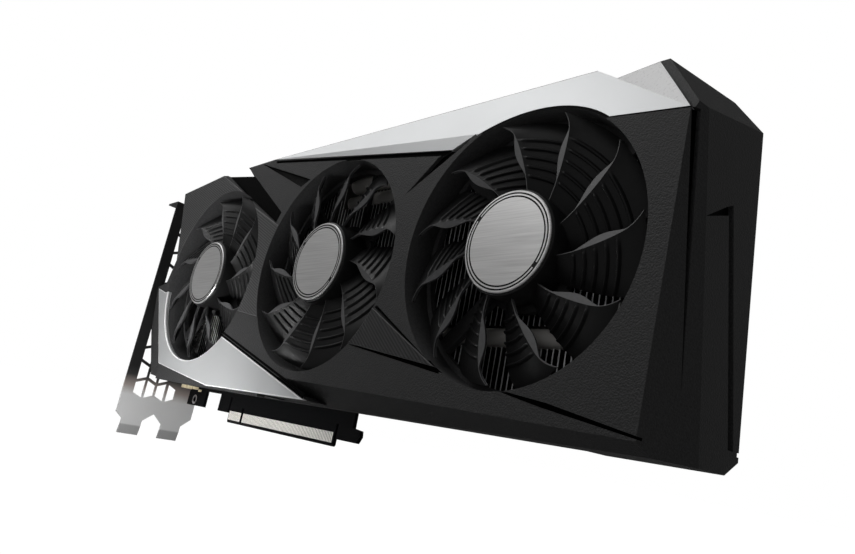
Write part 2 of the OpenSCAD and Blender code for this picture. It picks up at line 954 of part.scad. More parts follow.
// A screw put in from behind, with its head proud of the backplate
module screw_back(h, tip_y) {
    head_t = 0.4;
    color(steel)
        difference() {
            union() {
                disc(h[0], h[1], plate_y1, plate_y1 + head_t, 2.7);
                disc(h[0], h[1], tip_y, plate_y1 + eps, 1.2);
            }
            disc(h[0], h[1], plate_y1 + 0.1, plate_y1 + 1, 0.9);
        }
}

// Screws through the shroud's top and bottom walls, with heads sunk flush
module shroud_screws() {
    color(steel)
        for (x = ear_x, side = [-1, 1])
            translate([x, ear_y, side > 0 ? shroud_half_h : -body_half_h])
                rotate([side > 0 ? 180 : 0, 0, 0])
                    difference() {
                        union() {
                            cylinder(h = 0.95, r = 2.2);
                            cylinder(h = 8.5, r = 1.15);
                        }
                        translate([0, 0, -1])
                            cylinder(h = 1.6, r = 0.9);
                    }
}

// Screws that hold the three fan frames to the shroud's bosses
module fan_screws() {
    back_y = frame_y + frame_t;
    color(steel)
        for (x = fan_x, a = [45 : 90 : 315])
            translate([x, 0, 0])
                rotate([0, a, 0]) {
                    disc(fan_screw_r, 0, back_y, back_y + 0.8, 1.9);
                    disc(fan_screw_r, 0, skin_t + 1.6, back_y + eps, 0.85);
                }
}

// Screws through the bracket's tabs into the board, put in from behind
module bracket_screws() {
    tab_y1 = board_y + board_t + bracket_t;
    color(steel)
        for (z = tab_z) {
            disc(tab_x, z, tab_y1, tab_y1 + 1.4, 2.3);
            disc(tab_x, z, board_y, tab_y1 + eps, 1.15);
        }
}

seated() shroud();
seated() trim_lower();
seated() trim_upper();
for (i = [0 : 2]) {
    name = fan_names[i];
    x = fan_x[i];
    turn = i == 1 ? -1 : 1;
    seated() fan_frame(x);
    seated() stator(x);
    seated() bearing(x);
    seated() rotor(x, turn);
    seated() label(x);
    seated() yoke(x);
    seated() magnet(x);
    seated() shaft(x);
}
seated() fins_left();
seated() fins_middle();
seated() fins_right();
seated() heat_pipes();
seated() cold_plate();
seated() pipe_crossover();
seated() circuit_board();
seated() edge_contacts();
seated() gpu_package();
seated() memory_chips();
seated() memory_pads();
seated() chokes();
seated() power_stages();
seated() capacitors();
seated() fan_header();
seated() fan_leads();
seated() power_socket();
seated() power_pins();
seated() backplate();
seated() slot_bracket();
seated() displayport_shells();
seated() hdmi_shells();
seated() port_tongues();
seated() cooler_screws();
seated() backplate_screws();
seated() shroud_screws();
seated() fan_screws();
seated() bracket_screws();
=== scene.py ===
"""Graphics card with three fans: finishes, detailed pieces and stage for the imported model."""

import json
import math

import bmesh
import bpy
from mathutils import Matrix, Vector

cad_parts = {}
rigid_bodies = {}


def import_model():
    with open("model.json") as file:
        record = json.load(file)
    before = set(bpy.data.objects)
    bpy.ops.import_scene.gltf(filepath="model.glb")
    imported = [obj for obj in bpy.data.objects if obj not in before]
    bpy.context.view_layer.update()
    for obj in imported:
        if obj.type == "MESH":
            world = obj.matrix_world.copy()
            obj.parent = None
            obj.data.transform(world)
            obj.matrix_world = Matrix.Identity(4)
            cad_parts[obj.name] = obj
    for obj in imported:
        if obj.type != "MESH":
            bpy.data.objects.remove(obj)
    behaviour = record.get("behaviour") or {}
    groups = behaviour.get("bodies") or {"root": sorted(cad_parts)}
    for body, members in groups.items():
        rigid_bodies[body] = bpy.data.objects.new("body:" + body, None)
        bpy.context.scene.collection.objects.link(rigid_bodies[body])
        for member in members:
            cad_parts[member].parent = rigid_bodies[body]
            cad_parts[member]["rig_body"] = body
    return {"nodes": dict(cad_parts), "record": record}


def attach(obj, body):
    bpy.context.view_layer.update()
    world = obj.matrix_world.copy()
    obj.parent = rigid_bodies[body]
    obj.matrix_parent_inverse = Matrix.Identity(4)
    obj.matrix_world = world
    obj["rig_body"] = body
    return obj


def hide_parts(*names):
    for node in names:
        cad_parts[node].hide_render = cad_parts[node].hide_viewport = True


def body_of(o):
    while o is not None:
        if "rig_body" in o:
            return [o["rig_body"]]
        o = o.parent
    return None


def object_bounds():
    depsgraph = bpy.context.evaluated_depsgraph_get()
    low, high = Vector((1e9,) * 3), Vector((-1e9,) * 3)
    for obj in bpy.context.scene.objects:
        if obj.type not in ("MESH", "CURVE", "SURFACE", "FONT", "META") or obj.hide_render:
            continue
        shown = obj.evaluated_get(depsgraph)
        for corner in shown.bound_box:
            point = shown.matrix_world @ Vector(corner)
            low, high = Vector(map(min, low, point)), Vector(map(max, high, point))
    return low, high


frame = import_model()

bl_info = {
    "name": "Graphics card",
    "version": (1, 0, 0),
    "blender": (4, 5, 0),
    "location": "View3D > Sidebar > Card",
    "description": "Builds the visible pieces of a graphics card on its packed frame",
    "category": "Object",
}

CAD_BOX = [list(c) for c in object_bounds()]
MM = 0.001
SIDES = ("left", "middle", "right")
HUBS = {
    j["child"][len("fan_"):]: Vector(j["pos_m"])
    for j in frame["record"]["behaviour"]["joints"]
}
HUB_SPACING = (HUBS["right"] - HUBS["middle"]).x / MM


def at(x, y, z):
    """A place in millimetres from the middle fan's axis on the shroud's front face."""
    return HUBS["middle"] + Vector((x, y, z)) * MM


# ---- sizes and colours ----


class CardSizes(bpy.types.PropertyGroup):
    """Sizes of the detailed pieces"""

    opening_radius: bpy.props.FloatProperty(
        name="Opening radius", description="Radius of each opening in the shroud",
        default=0.0397, unit="LENGTH")
    edge: bpy.props.FloatProperty(
        name="Edge rounding", description="Width of the rounding on moulded edges",
        default=0.00025, unit="LENGTH")
    blade_count: bpy.props.IntProperty(
        name="Blades", description="Blades on each rotor", default=11, min=3)
    blade_tip: bpy.props.FloatProperty(
        name="Blade tip radius", description="Radius at the blades' tips",
        default=0.0381, unit="LENGTH")
    blade_thickness: bpy.props.FloatProperty(
        name="Blade thickness", description="Thickness of a blade", default=0.0008,
        unit="LENGTH")
    rib_height: bpy.props.FloatProperty(
        name="Rib height", description="Height of the ribs on a blade", default=0.0008,
        unit="LENGTH")
    label_radius: bpy.props.FloatProperty(
        name="Label radius", description="Radius of the disc on each hub", default=0.0144,
        unit="LENGTH")


class CardColours(bpy.types.PropertyGroup):
    """Base colours of the finishes"""

    charcoal: bpy.props.FloatVectorProperty(
        name="Charcoal", description="Shroud plastic", subtype="COLOR",
        default=(0.031, 0.031, 0.0315), min=0, max=1)
    silver: bpy.props.FloatVectorProperty(
        name="Silver", description="Paint on the trims", subtype="COLOR",
        default=(0.62, 0.63, 0.635), min=0, max=1)
    black: bpy.props.FloatVectorProperty(
        name="Black", description="Fan plastic", subtype="COLOR",
        default=(0.012, 0.012, 0.0123), min=0, max=1)
    nickel: bpy.props.FloatVectorProperty(
        name="Nickel", description="Plating on the fins and pipes", subtype="COLOR",
        default=(0.72, 0.7, 0.67), min=0, max=1)
    solder_mask: bpy.props.FloatVectorProperty(
        name="Solder mask", description="Circuit board", subtype="COLOR",
        default=(0.0045, 0.0047, 0.0052), min=0, max=1)
    # painted reflection: the contact strips are near white rather than gold, standing in for the
    # light they reflect
    gold: bpy.props.FloatVectorProperty(
        name="Gold", description="Contact strips", subtype="COLOR",
        default=(1.0, 0.96, 0.9), min=0, max=1)


# ---- finishes ----


class Finish:
    """A material under construction: its shader, and short calls for its texture nodes."""

    def __init__(self, name, colour, roughness, metallic=0.0, specular=0.5):
        self.material = bpy.data.materials.new(name)
        self.material.use_nodes = True
        self.tree = self.material.node_tree
        self.shader = self.tree.nodes["Principled BSDF"]
        self.set("Base Color", (*colour, 1.0))
        self.set("Roughness", roughness)
        self.set("Metallic", metallic)
        self.set("Specular IOR Level", specular)
        self.material.diffuse_color = (*colour, 1.0)
        self.place = None
        self.last_bump = None

    def set(self, socket, value):
        self.shader.inputs[socket].default_value = value

    def link(self, a, b):
        self.tree.links.new(a, b)

    def node(self, kind, **values):
        made = self.tree.nodes.new(kind)
        for key, value in values.items():
            if hasattr(made, key):
                setattr(made, key, value)
            else:
                made.inputs[key.replace("_", " ")].default_value = value
        return made

    def coordinates(self, scale=(1, 1, 1), turn=(0, 0, 0)):
        if self.place is None:
            self.place = self.node("ShaderNodeTexCoord")
        mapping = self.node("ShaderNodeMapping")
        mapping.inputs["Scale"].default_value = scale
        mapping.inputs["Rotation"].default_value = [math.radians(a) for a in turn]
        self.link(self.place.outputs["Object"], mapping.inputs["Vector"])
        return mapping.outputs["Vector"]

    def noise(self, size, stretch=(1, 1, 1), detail=2.0):
        """Noise whose features are about size metres across."""
        texture = self.node("ShaderNodeTexNoise", Scale=1.0 / size, Detail=detail)
        self.link(self.coordinates(scale=stretch), texture.inputs["Vector"])
        return texture.outputs["Fac"]

    def lines(self, pitch, turn):
        """Parallel lines of that pitch in metres, turned in degrees."""
        # at a scale of one the texture repeats every pi / 10 metres
        wave = self.node("ShaderNodeTexWave", Scale=math.pi / 10 / pitch)
        wave.bands_direction = "X"
        self.link(self.coordinates(turn=turn), wave.inputs["Vector"])
        return wave.outputs["Fac"]

    def ramp(self, value, stops):
        """Colours by place from nought to one, each three numbers or one for a grey."""
        scale = self.node("ShaderNodeValToRGB")
        while len(scale.color_ramp.elements) < len(stops):
            scale.color_ramp.elements.new(0.5)
        for element, (place, colour) in zip(scale.color_ramp.elements, stops):
            grey = not hasattr(colour, "__len__")
            element.position = place
            element.color = (colour,) * 3 + (1.0,) if grey else (*colour, 1.0)
        self.link(value, scale.inputs["Fac"])
        return scale.outputs["Color"]

    def tint(self, value, dark, light):
        """The base colour runs from dark to light with value."""
        self.link(self.ramp(value, [(0.3, dark), (0.7, light)]), self.shader.inputs["Base Color"])

    def gloss(self, value, low, high):
        """The roughness runs from low to high with value."""
        spread = self.node("ShaderNodeMapRange", From_Min=0.3, From_Max=0.7,
                           To_Min=low, To_Max=high)
        self.link(value, spread.inputs["Value"])
        self.link(spread.outputs["Result"], self.shader.inputs["Roughness"])

    def bump(self, height, depth, strength):
        """Relief from height, depth metres deep, over any that the finish already has."""
        relief = self.node("ShaderNodeBump", Strength=strength, Distance=depth)
        self.link(height, relief.inputs["Height"])
        if self.last_bump:
            self.link(self.last_bump, relief.inputs["Normal"])
        self.last_bump = relief.outputs["Normal"]
        self.link(self.last_bump, self.shader.inputs["Normal"])


def shade(colour, factor):
    return tuple(min(1.0, c * factor) for c in colour)


def moulded(name, colour, roughness, grain=0.0007, relief=0.00004, specular=0.5, spread=0.12):
    """Spark-eroded plastic: a fine grain in relief, with a faint mottle."""
    plastic = Finish(name, colour, roughness, specular=specular)
    fine = plastic.noise(grain, detail=1.5)
    plastic.tint(fine, shade(colour, 1 - spread), shade(colour, 1 + spread))
    plastic.gloss(fine, roughness - 0.05, roughness + 0.07)
    plastic.bump(fine, relief, 0.8)
    return plastic


def lined(name, colour, roughness, pitch, turn):
    """Moulded plastic with fine parallel lines across it."""
    plastic = moulded(name, colour, roughness, relief=0.00002, specular=0.3)
    wave = plastic.lines(pitch, turn)
    plastic.tint(wave, shade(colour, 0.75), shade(colour, 1.22))
    plastic.gloss(wave, roughness + 0.15, roughness - 0.05)
    plastic.bump(wave, 0.00012, 0.6)
    return plastic


def plated(name, colour, roughness, grain=0.0015, stretch=(1, 1, 1), spread=0.06, relief=0.00001):
    """Metal with a slightly uneven polish."""
    metal = Finish(name, colour, roughness, metallic=1.0)
    uneven = metal.noise(grain, stretch, detail=3.0)
    patches = metal.noise(0.02, detail=2.0)
    metal.tint(patches, shade(colour, 1 - spread), shade(colour, 1 + spread))
    metal.gloss(uneven, roughness - 0.06, roughness + 0.08)
    if relief:
        metal.bump(uneven, relief, 0.35)
    return metal


def make_finishes(colours):
    """Every finish by the name of its slot in the record, and a few more for the new pieces."""
    charcoal, silver = tuple(colours.charcoal), tuple(colours.silver)
    black, nickel = tuple(colours.black), tuple(colours.nickel)
    made = {}
    made["shroud_plastic"] = moulded("shroud_plastic", charcoal, 0.58, 0.00045, 0.00026,
                                     specular=0.3, spread=0.25)
    made["panel_plastic"] = lined("panel_plastic", shade(charcoal, 1.6), 0.55, 0.00095, (0, 65, 0))
    made["insert_plastic"] = lined("insert_plastic", shade(charcoal, 0.9), 0.55, 0.001, (0, 50, 0))
    # painted shade: a near-black copy of the charcoal for the floors of the grooves, the channel
    # and the end's slot, and for the trims' groove strips, standing in for the shade in them
    made["painted_shade_plastic"] = moulded("painted_shade_plastic", shade(charcoal, 0.06), 0.5, specular=0.15)
    made["duct_plastic"] = moulded("duct_plastic", shade(charcoal, 2.2), 0.6, specular=0.12)
    # painted highlight: a lighter copy of the charcoal for the panels' rounded rims, standing in
    # for the light they catch
    made["painted_rim_highlight"] = moulded("painted_rim_highlight", shade(charcoal, 2.6), 0.5, spread=0.05)
    for name in ("painted_shade_plastic", "duct_plastic"):
        made[name].set("IOR", 1.12)
    paint = Finish("silver_paint", silver, 0.36, metallic=0.55)
    flake = paint.noise(0.0003, detail=2.0)
    paint.tint(paint.noise(0.03, detail=2.0), shade(silver, 0.97), shade(silver, 1.03))
    paint.gloss(flake, 0.32, 0.42)
    paint.bump(flake, 0.000006, 0.3)
    made["silver_paint"] = paint
    # painted highlight: near-white paint on the trims' rounded edges, standing in for the light
    # that catches them
    made["painted_edge_highlight"] = moulded("painted_edge_highlight", (0.95, 0.95, 0.95), 0.3, relief=0.000004,
                                 spread=0.02)
    made["fan_plastic"] = moulded("fan_plastic", black, 0.38, grain=0.0011, relief=0.000004,
                                  specular=0.27, spread=0.05)
    disc = Finish("label_metal", (0.86, 0.855, 0.85), 0.38, metallic=1.0)
    disc.set("Anisotropic", 0.6)
    brushed = disc.noise(0.0006, stretch=(0.03, 1, 1.6), detail=4.0)
    disc.tint(brushed, (0.78, 0.775, 0.77), (0.94, 0.935, 0.93))
    disc.gloss(brushed, 0.36, 0.46)
    disc.bump(brushed, 0.00001, 0.4)
    made["label_metal"] = disc
    # painted light: the leaves are a copy of the fan plastic 6.5 times lighter, standing in for the
    # light on their forward faces
    made["painted_lit_leaf"] = moulded("painted_lit_leaf", shade(black, 6.5), 0.4, grain=0.0011,
                                   relief=0.000008)
    made["label_groove"] = moulded("label_groove", (0.006, 0.006, 0.006), 0.6, specular=0.2)
    # painted shade and highlight: the fins' one nickel plating is split into a copy darkened to 0.3
    # for their sides, standing in for the shade between them, and a near-white, mostly diffuse copy
    # for their front edges, standing in for the light those edges reflect
    made["fin_metal"] = plated("fin_metal", shade(nickel, 0.3), 0.35, grain=0.003)
    edges = plated("painted_fin_highlight", (0.95, 0.95, 0.95), 0.36, grain=0.003)
    edges.set("Metallic", 0.15)
    made["painted_fin_highlight"] = edges
    # painted reflection: the pipes' nickel is raised to near white and made mostly diffuse,
    # standing in for the light they reflect from inside the duct's shade
    made["pipe_metal"] = plated("pipe_metal", shade(nickel, 1.25), 0.2, grain=0.004)
    made["pipe_metal"].set("Metallic", 0.15)
    made["copper_winding"] = plated("copper_winding", (0.62, 0.3, 0.14), 0.35, 0.0006, (1, 8, 1))
    made["bearing_steel"] = plated("bearing_steel", (0.55, 0.55, 0.56), 0.3)
    made["magnet"] = moulded("magnet", (0.05, 0.05, 0.052), 0.6)
    board = moulded("board", tuple(colours.solder_mask), 0.4, grain=0.0004, relief=0.000006,
                    specular=0.15)
    board.set("IOR", 1.2)
    tracks = board.node("ShaderNodeTexBrick", Scale=260.0)
    tracks.offset = 0.5
    board.link(board.coordinates(turn=(90, 0, 0)), tracks.inputs["Vector"])
    board.bump(tracks.outputs["Fac"], 0.00002, 0.25)
    made["board"] = board
    # painted reflection: near white and not metallic, standing in for the light the gold contacts
    # reflect
    made["contact_gold"] = plated("contact_gold", tuple(colours.gold), 0.45, 0.02, spread=0.02,
                                  relief=0)
    made["contact_gold"].set("Metallic", 0.0)
    made["foot_gold"] = plated("foot_gold", (0.95, 0.82, 0.55), 0.3, 0.002)
    made["foot_gold"].set("Metallic", 0.1)
    made["chip_black"] = moulded("chip_black", (0.025, 0.025, 0.027), 0.45, grain=0.0003)
    made["ferrite"] = moulded("ferrite", (0.07, 0.07, 0.072), 0.55, grain=0.0003)
    made["pad_grey"] = moulded("pad_grey", (0.33, 0.37, 0.42), 0.7, grain=0.0005)
    made["capacitor"] = plated("capacitor", (0.6, 0.6, 0.62), 0.28, 0.001)
    made["header_white"] = moulded("header_white", (0.75, 0.74, 0.7), 0.4, relief=0.00001,
                                   spread=0.03)
    made["lead_black"] = moulded("lead_black", (0.018, 0.018, 0.018), 0.5, relief=0.00001)
    made["socket_black"] = moulded("socket_black", (0.016, 0.016, 0.017), 0.42, relief=0.00001)
    made["backplate_paint"] = moulded("backplate_paint", (0.02, 0.02, 0.0215), 0.38, grain=0.0005)
    bracket = plated("bracket_steel", (0.66, 0.66, 0.655), 0.45, 0.03, relief=0)
    bracket.set("Metallic", 0.05)
    # painted reflection and shade: the sheet is painted black above the vents' lowest row, standing
    # in for the card's dark reflection in the steel; below it shows its own colour, painted duller
    # below the fold for the fold's shade
    height = bracket.node("ShaderNodeSeparateXYZ")
    bracket.link(bracket.coordinates(), height.inputs["Vector"])
    fade = bracket.node("ShaderNodeMapRange", From_Min=at(0, 0, -78).z, From_Max=at(0, 0, -45).z)
    bracket.link(height.outputs["Z"], fade.inputs["Value"])
    painted_reflection_and_shade = bracket.ramp(fade.outputs["Result"],
                        [(0.135, 0.36), (0.155, 0.62), (0.58, 0.6), (0.72, (0.3, 0.26, 0.24)),
                         (0.88, 0.03), (1.0, 0.012)])
    bracket.link(painted_reflection_and_shade, bracket.shader.inputs["Base Color"])
    made["bracket_steel"] = bracket
    made["port_metal"] = plated("port_metal", (0.6, 0.59, 0.57), 0.25, 0.002)
    made["screw_metal"] = moulded("screw_metal", (0.05, 0.05, 0.052), 0.35, relief=0.00001)
    return {name: coat.material for name, coat in made.items()}


FINISHES = {}


def finish(name):
    """The material of that name; all are made at the first call."""
    if not FINISHES:
        FINISHES.update(make_finishes(bpy.context.scene.card_colours))
    return FINISHES[name]


# ---- making pieces ----


def piece(name, bm, finishes, body="card", sharp=35):
    """Turns a bmesh into an object at the origin that rides on a body."""
    bmesh.ops.remove_doubles(bm, verts=bm.verts, dist=1e-7)
    mesh = bpy.data.meshes.new(name)
    bm.to_mesh(mesh)
    bm.free()
    for f in finishes:
        mesh.materials.append(finish(f))
    # normals that came with a CAD mesh no longer fit its rounded copy
    if "custom_normal" in mesh.attributes:
        mesh.attributes.remove(mesh.attributes["custom_normal"])
    mesh.set_sharp_from_angle(angle=math.radians(sharp))
    # large flat faces stay flat, so only curved skins are shaded smooth
    flags = [len(p.vertices) < 5 and p.area < 1.5e-4 for p in mesh.polygons]
    mesh.polygons.foreach_set("use_smooth", flags)
    obj = bpy.data.objects.new(name, mesh)
    bpy.context.scene.collection.objects.link(obj)
    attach(obj, body)
    return obj


def bevel(bm, edges, width):
    bmesh.ops.bevel(bm, geom=list(edges), offset=width, offset_type="OFFSET", segments=2,
                    profile=0.5, affect="EDGES", clamp_overlap=True, material=-1)


def creases(bm):
    """The edges where the surface turns by more than 30 degrees."""
    limit = math.radians(30)
    return [e for e in bm.edges if len(e.link_faces) == 2 and e.calc_face_angle(0) > limit]


def arc(centre, radius, start, end, steps=24):
    """Points (x, z) in millimetres along an arc, in degrees anticlockwise from the front."""
    for i in range(steps + 1):
        a = math.radians(start + (end - start) * i / steps)
        yield centre + radius * math.cos(a), radius * math.sin(a)


def plate(bm, outline, depth, front, edge=0):
    """A flat moulding: an outline of (x, z) in millimetres at y front, pushed back by depth.

    Its front edges are rounded by edge, in the piece's second finish."""
    verts = [bm.verts.new(at(x, front, z)) for x, z in outline]
    face = bm.faces.new(verts)
    face.normal_update()
    if face.normal.y > 0:
        face.normal_flip()
    pushed = bmesh.ops.extrude_face_region(bm, geom=[face], use_keep_orig=True)
    back = [v for v in pushed["geom"] if isinstance(v, bmesh.types.BMVert)]
    bmesh.ops.translate(bm, verts=back, vec=Vector((0, depth * MM, 0)))
    solid = set(face.verts) | set(back)
    faces = {f for v in solid for f in v.link_faces}
    bmesh.ops.recalc_face_normals(bm, faces=list(faces))
    if edge:
        before = set(bm.faces) - {face}
        bevel(bm, face.edges, edge * MM)
        for f in set(bm.faces) - before:
            if -0.98 < f.normal.y < -0.2:
                f.material_index = 1


def facing(face):
    """A face's direction, rounded so that flat faces on one plane agree."""
    return tuple(round(c, 3) for c in face.normal)


def dressed(node, name, finishes, edge, choose=None, rounding=None):
    """A CAD solid with its edges rounded, which stands for the node.

    choose picks a face's finish, and rounding is the finish of the rounded edges."""
    bm = bmesh.new()
    bm.from_mesh(frame["nodes"][node].data)
    bmesh.ops.remove_doubles(bm, verts=bm.verts, dist=2e-6)
    bmesh.ops.dissolve_limit(bm, angle_limit=math.radians(1.0), verts=bm.verts, edges=bm.edges)
    for f in bm.faces:
        f.material_index = choose(f) if choose else 0
    if edge:
        flat = {facing(f) for f in bm.faces}
        bevel(bm, creases(bm), edge)
        if rounding:
            for f in bm.faces:
                if facing(f) not in flat:
                    f.material_index = rounding
    body = body_of(frame["nodes"][node])[0]
    obj = piece(name, bm, finishes, body)
    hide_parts(node)


def recoat(node, name):
    """The node keeps its shape and gets a finish."""
    mesh = frame["nodes"][node].data
    mesh.materials.clear()
    mesh.materials.append(finish(name))


# ---- shroud ----


def build_shroud(sizes):
    def part_of(face):
        """0 is the skin, 1 what is sunk below it, which takes the painted shade, and 2 the wall of
        an opening.
        """
        spot = (face.calc_center_median() - HUBS["middle"]) / MM
        radial = min(math.hypot(spot.x - x, spot.z) for x in (-HUB_SPACING, 0, HUB_SPACING))
        if spot.y > 0.6 and radial < sizes.opening_radius / MM + 0.6 and abs(face.normal.y) < 0.1:
            return 2
        # the floors of the grooves and the channel, in painted shade
        if 0.65 < spot.y < 1.6 and spot.z > -48 and spot.x < 131 and face.normal.y < -0.9:
            return 1
        # the floor of the end's slot and the wall of the groove in the front corner, in painted
        # shade
        if spot.x > 131 and face.normal.x > 0.9 and face.calc_area() < 2e-4:
            return 1
        return 0

    dressed("shroud", "shroud_shell", ["shroud_plastic", "painted_shade_plastic", "duct_plastic"],
            sizes.edge, choose=part_of)
    bm = bmesh.new()
    r = sizes.opening_radius / MM
    left, middle = -HUB_SPACING, 0
    # panel at the upper left, from the sloping end to the channel
    plate(bm, [(-140, 46.2), (-99.4, 49.9), *arc(left, r + 0.1, 71, 166.5)], 0.5, -0.25, 0.3)
    # band between the left and middle openings
    plate(bm, [*arc(left, r + 0.1, -26.5, 46, 20), *arc(middle, r + 0.1, 153.5, 210.5, 20)],
          0.5, -0.25, 0.3)
    piece("lined_panels", bm, ["panel_plastic", "painted_rim_highlight"])
    bm = bmesh.new()
    plate(bm, [*arc(middle, r + 0.1, 334, 313, 10), (68, -34.6)], 0.6, -0.4, 0.2)
    piece("lined_insert", bm, ["insert_plastic", "painted_rim_highlight"])


def strip(bm, a, b, offset, width, front, depth):
    """A straight strip beside the line from a to b, that far to its left and that wide."""
    along = (Vector(b) - Vector(a)).normalized()
    side = Vector((-along.y, along.x))
    corners = [Vector(a) + side * offset, Vector(b) + side * offset,
               Vector(b) + side * (offset + width), Vector(a) + side * (offset + width)]
    plate(bm, corners, depth, front)


def build_trims():
    # two strips painted near black along the lower trim's upper edge, standing in for the shade in
    # its grooves
    bm = bmesh.new()
    strip(bm, (-60.5, -28.0), (8.6, -48.45), 0.1, 0.8, -0.06, 0.3)
    strip(bm, (-59.6, -28.3), (9.4, -48.7), 1.25, 0.9, -0.06, 0.3)
    piece("trim_groove_shade", bm, ["painted_shade_plastic"])
    # each trim's rounded edges take the painted highlight
    for node in ("trim_lower", "trim_upper"):
        dressed(node, node + "_shape", ["silver_paint", "painted_edge_highlight"], 0.0005, rounding=1)


# ---- cooler, board and bracket ----


# faces that face forward, which take the painted highlight
def front_edge(face):
    return int(face.normal.y < -0.9)


def build_cooler():
    for side in SIDES:
        dressed("fins_" + side, "fin_stack_" + side, ["fin_metal", "painted_fin_highlight"], 0,
                choose=front_edge)
        dressed("fan_frame_" + side, "fan_plate_" + side, ["duct_plastic"], 0.0003)


FOOT_HOLE = (-135.6, 0, -55.2)
# small gilt parts beside the lower display socket: width, depth and height, then the centre
GILT_PARTS = (
    ((5.5, 3.8, 1.9), (-140, 28.9, -49.6)), ((2.6, 3.4, 2.6), (-134.6, 29.0, -48.6)),
    ((2.0, 3.0, 1.6), (-131.2, 29.3, -49.6)), ((1.4, 1.3, 1.2), (-127.4, 30.25, -50.6)),
)


def build_board():
    bm = bmesh.new()
    # plated rings round the foot's hole, on the board's front and back
    for y, proud in ((32.6, -0.03), (34.2, 0.03)):
        ring = [(1.35, y), (1.35, y + proud), (2.35, y + proud), (2.35, y)]
        faces = lathe(bm, ring, 32)
        bmesh.ops.translate(bm, verts=list({v for f in faces for v in f.verts}),
                            vec=at(*FOOT_HOLE))
    piece("foot_rings", bm, ["bearing_steel"])
    bm = bmesh.new()
    for size, place in GILT_PARTS:
        made = bmesh.ops.create_cube(bm, size=1.0)["verts"]
        bmesh.ops.scale(bm, verts=made, vec=Vector(size) * MM)
        bmesh.ops.translate(bm, verts=made, vec=at(*place))
    bevel(bm, bm.edges, 0.00025)
    piece("gilt_parts", bm, ["foot_gold"])
    dressed("circuit_board", "board_shape", ["board"], 0.0002)


def build_bracket():
    dressed("slot_bracket", "bracket_shape", ["bracket_steel"], 0.00018)
    dressed("backplate", "backplate_shape", ["backplate_paint"], 0.0003)
    dressed("power_socket", "power_socket_shape", ["socket_black"], 0.0002)


# ---- fans ----


# where each fan stopped, in degrees
START_ANGLE = {"left": -105.5, "middle": -102, "right": -104}
# the blades' root and ribs by radius in millimetres, and the leaf's share of the grid
BLADE_ROOT = 14.6
RIBS = (20.0, 22.9, 25.8, 28.7, 31.6)
LEAF_SHARE = 0.125


def bump(x, centre, half, power=1.0):
    """One at the centre, falling to nothing at half to either side."""
    near = min(1.0, abs(x - centre) / half)
    return math.cos(near * math.pi / 2) ** power


def blade_point(u, v, sizes):
    """u runs across the blade from the front of its leaf, v outwards from the hub."""
    r = BLADE_ROOT + (sizes.blade_tip / MM - BLADE_ROOT) * v
    # the leading edge is swept forward and ends in a horn
    lead = -22 + 22 * v + math.sin(1.5 * math.pi * v) + 2.5 * max(0.0, (v - 0.8) / 0.2) ** 2
    width = 22.0 + 3.5 * v
    front = 1.0 + 0.9 * (1 - v) ** 2
    if u < LEAF_SHARE:
        # the leaf lies ahead of the leading edge and faces forward
        bulge = 0.22 + 1.9 * bump(r, 27, 7, 1.2)
        share = 1 - u / LEAF_SHARE
        angle = math.radians(lead) + bulge * share / r
        y = front + 0.12 * bulge * share
    else:
        across = (u - LEAF_SHARE) / (1 - LEAF_SHARE)
        angle = math.radians(lead - width * across)
        back = 8.4 - 1.4 * (1 - v)
        y = front + (back - front) * across ** 0.86
        ridge = max(bump(r, centre, 0.45, 0.4) for centre in RIBS)
        y -= sizes.rib_height / MM * ridge * min(1.0, max(0.0, (across - 0.05) / 0.07))
    return Vector((r * math.cos(angle), y, r * math.sin(angle))) * MM


def build_rotor(side, sizes):
    bm = bmesh.new()
    columns, rows = 16, 112
    bmesh.ops.create_grid(bm, x_segments=columns, y_segments=rows, size=0.5)
    for vert in bm.verts:
        vert.co = blade_point(vert.co.x + 0.5, vert.co.y + 0.5, sizes)
    for f in bm.faces:
        # the leaf's faces take the painted light of the second finish
        f.material_index = int(f.index % columns < LEAF_SHARE * columns)
    bmesh.ops.recalc_face_normals(bm, faces=bm.faces)
    if sum(f.normal.y * f.calc_area() for f in bm.faces) > 0:
        bmesh.ops.reverse_faces(bm, faces=bm.faces)
    bmesh.ops.solidify(bm, geom=bm.faces, thickness=sizes.blade_thickness)
    step = 2 * math.pi / sizes.blade_count
    bmesh.ops.spin(bm, geom=bm.verts[:] + bm.edges[:] + bm.faces[:], cent=(0, 0, 0), axis=(0, 1, 0),
                   dvec=(0, 0, 0), angle=step * (sizes.blade_count - 1),
                   steps=sizes.blade_count - 1, use_duplicate=True)
    bmesh.ops.rotate(bm, verts=bm.verts, cent=(0, 0, 0),
                     matrix=Matrix.Rotation(math.radians(START_ANGLE[side]), 3, "Y"))
    if side == "middle":
        # this fan turns the other way, so it is mirrored
        bmesh.ops.scale(bm, verts=bm.verts, vec=(-1, 1, 1))
        bmesh.ops.reverse_faces(bm, faces=bm.faces)
    # hub cup, spun from its outline
    outline = [(13.4, 8.6), (15.2, 8.6), (15.2, 0.4), (14.9, -0.4), (14.5, -0.75), (0.0, -0.75)]
    lathe(bm, outline, 72)
    bmesh.ops.translate(bm, verts=bm.verts, vec=HUBS[side])
    obj = piece("rotor_shape_" + side, bm, ["fan_plastic", "painted_lit_leaf"], "fan_" + side, sharp=28)
    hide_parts("rotor_" + side)


def lathe(bm, outline, steps):
    """Spins an outline of (radius, y) in millimetres about the Y axis."""
    verts = [bm.verts.new((r * MM, y * MM, 0)) for r, y in outline]
    edges = [bm.edges.new(pair) for pair in zip(verts, verts[1:])]
    before = set(bm.faces)
    bmesh.ops.spin(bm, geom=verts + edges, cent=(0, 0, 0), axis=(0, 1, 0), dvec=(0, 0, 0),
                   angle=2 * math.pi, steps=steps, use_merge=True)
    made = [f for f in bm.faces if f not in before]
    bmesh.ops.remove_doubles(bm, verts=list({v for f in made for v in f.verts}), dist=1e-7)
    made = [f for f in bm.faces if f not in before]
    bmesh.ops.recalc_face_normals(bm, faces=made)
    return made


